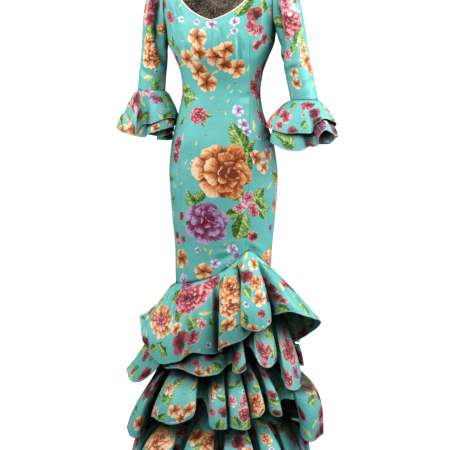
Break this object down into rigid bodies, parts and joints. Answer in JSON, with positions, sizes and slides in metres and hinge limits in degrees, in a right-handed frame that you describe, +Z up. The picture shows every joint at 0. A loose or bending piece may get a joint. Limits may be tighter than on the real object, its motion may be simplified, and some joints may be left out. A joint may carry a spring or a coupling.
{
  "type": "flamenco dress",
  "caption": "Fitted princess-line flamenco dress, hollow as when worn: wide V neck with piping, elbow sleeves with double flounced cuffs, and tiers of folded flounces from hip to hem",
  "frame": {"origin": "between the shoulders, at the height of the shoulder seams at the neck, where the wearer's shoulders hold the dress up", "axes": "+Z is up along the dress, the front of the dress faces -Y, and +X is the right side of the dress as seen from the front"},
  "size_m": [0.6524, 0.5567, 1.5271],
  "materials": {
    "printed_satin": "turquoise satin printed with flowers",
    "flounce_satin": "the same printed satin, in the folds of the flounces",
    "lining": "speckled taupe lining",
    "piping": "cream piping"
  },
  "bodies": {
    "root": {"front_centre": "printed_satin", "front_side_left": "printed_satin", "front_side_right": "printed_satin", "back_left": "printed_satin", "back_right": "printed_satin", "back_lining": "lining", "neck_piping": "piping", "sleeve_left": "printed_satin", "sleeve_right": "printed_satin", "cuff_flounce_upper_left": "flounce_satin", "cuff_flounce_lower_left": "flounce_satin", "cuff_flounce_upper_right": "flounce_satin", "cuff_flounce_lower_right": "flounce_satin", "skirt_base": "flounce_satin", "flounce_1": "flounce_satin", "flounce_2": "flounce_satin", "flounce_3": "flounce_satin", "flounce_4": "flounce_satin"}
  },
  "joints": []
}
